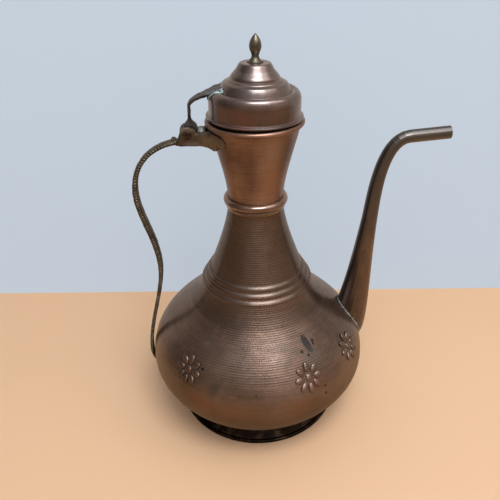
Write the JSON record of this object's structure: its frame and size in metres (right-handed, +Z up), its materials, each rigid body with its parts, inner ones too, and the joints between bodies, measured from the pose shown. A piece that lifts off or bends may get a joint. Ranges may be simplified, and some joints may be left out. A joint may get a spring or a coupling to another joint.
{
  "type": "lidded copper ewer",
  "caption": "Bellied copper water ewer with a swan-neck spout, brass strap handle, embossed rosettes and a domed lid hinged to the handle",
  "frame": {"origin": "on the axis of the round body, in the plane that the foot stands on", "axes": "+Z up along the body's axis, +X toward the spout, -X toward the handle and the lid's hinge, +Y completes the right-handed frame"},
  "size_m": [0.2485, 0.189, 0.325],
  "materials": {
    "body copper": "satin",
    "neck copper": "satin",
    "lid copper": "satin",
    "foot copper": "satin",
    "spout copper": "satin",
    "handle brass": "satin",
    "saddle brass": "satin",
    "arm brass": "satin",
    "finial brass": "satin",
    "solder": "satin",
    "verdigris solder": "satin",
    "iron": "satin"
  },
  "bodies": {
    "jug": {"foot_ring": "foot copper", "base_plate": "foot copper", "belly_shell": "body copper", "neck_cone": "body copper", "neck_collar": "neck copper", "neck_funnel": "neck copper", "rim_wire": "iron", "spout_tube": "spout copper", "spout_solder": "solder", "handle": "handle brass", "handle_solder": "solder", "neck_saddle": "saddle brass", "saddle_solder": "solder", "hinge_pin": "foot copper"},
    "lid": {"lid_shell": "lid copper", "lid_sleeve": "lid copper", "finial": "finial brass", "finial_nut": "iron", "lid_arm": "arm brass", "arm_solder": "verdigris solder"}
  },
  "joints": [
    {"name": "lid_hinge", "type": "hinge", "parent": "jug", "child": "lid", "pos_m": [-0.0496, 0, 0.2584], "axis": [0, -1, 0], "range_deg": [0, 105]}
  ]
}
